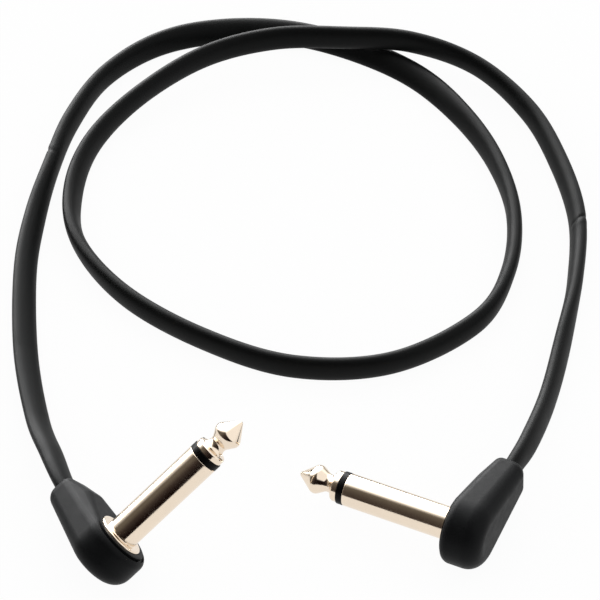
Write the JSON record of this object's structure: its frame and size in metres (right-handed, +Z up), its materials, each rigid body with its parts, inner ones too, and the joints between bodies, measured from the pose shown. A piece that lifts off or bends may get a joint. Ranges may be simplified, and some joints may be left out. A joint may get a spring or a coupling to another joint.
{
  "type": "instrument cable",
  "caption": "Short flat instrument cable with moulded flat right-angle phone plugs at both ends, lying in a loose loop that crosses itself.",
  "frame": {"origin": "on the table, under the middle of the box round the two plugs, the free cord left out", "axes": "+X from the left plug to the right one, +Y from the plugs towards the far end of the cord's loop, +Z up"},
  "size_m": [0.1169, 0.1602, 0.0281],
  "materials": {
    "cord_pvc": "satin black PVC jacket",
    "black_pvc": "matte black moulded PVC",
    "inner_moulding": "dark grey moulded polyethylene",
    "nickel": "bright nickel-plated brass",
    "black_nylon": "black nylon",
    "insulation": "natural polyethylene",
    "fibre": "pressed fibre board",
    "tinned_brass": "stamped brass, tinned",
    "solder": "dull solder",
    "copper": "stranded bare copper"
  },
  "bodies": {
    "root": {"cord": "cord_pvc", "left_housing": "black_pvc", "left_inner_block": "inner_moulding", "left_barrel": "nickel", "left_tip_ring": "black_nylon", "left_core_tube": "insulation", "left_tip": "nickel", "left_rear_washer": "fibre", "left_tip_lug": "tinned_brass", "left_ground_lug": "tinned_brass", "left_tip_solder": "solder", "left_ground_solder": "solder", "left_conductor": "copper", "left_dielectric": "insulation", "left_shield_pigtail": "copper", "left_jacket_end": "cord_pvc", "right_housing": "black_pvc", "right_inner_block": "inner_moulding", "right_barrel": "nickel", "right_tip_ring": "black_nylon", "right_core_tube": "insulation", "right_tip": "nickel", "right_rear_washer": "fibre", "right_tip_lug": "tinned_brass", "right_ground_lug": "tinned_brass", "right_tip_solder": "solder", "right_ground_solder": "solder", "right_conductor": "copper", "right_dielectric": "insulation", "right_shield_pigtail": "copper", "right_jacket_end": "cord_pvc"}
  },
  "joints": []
}
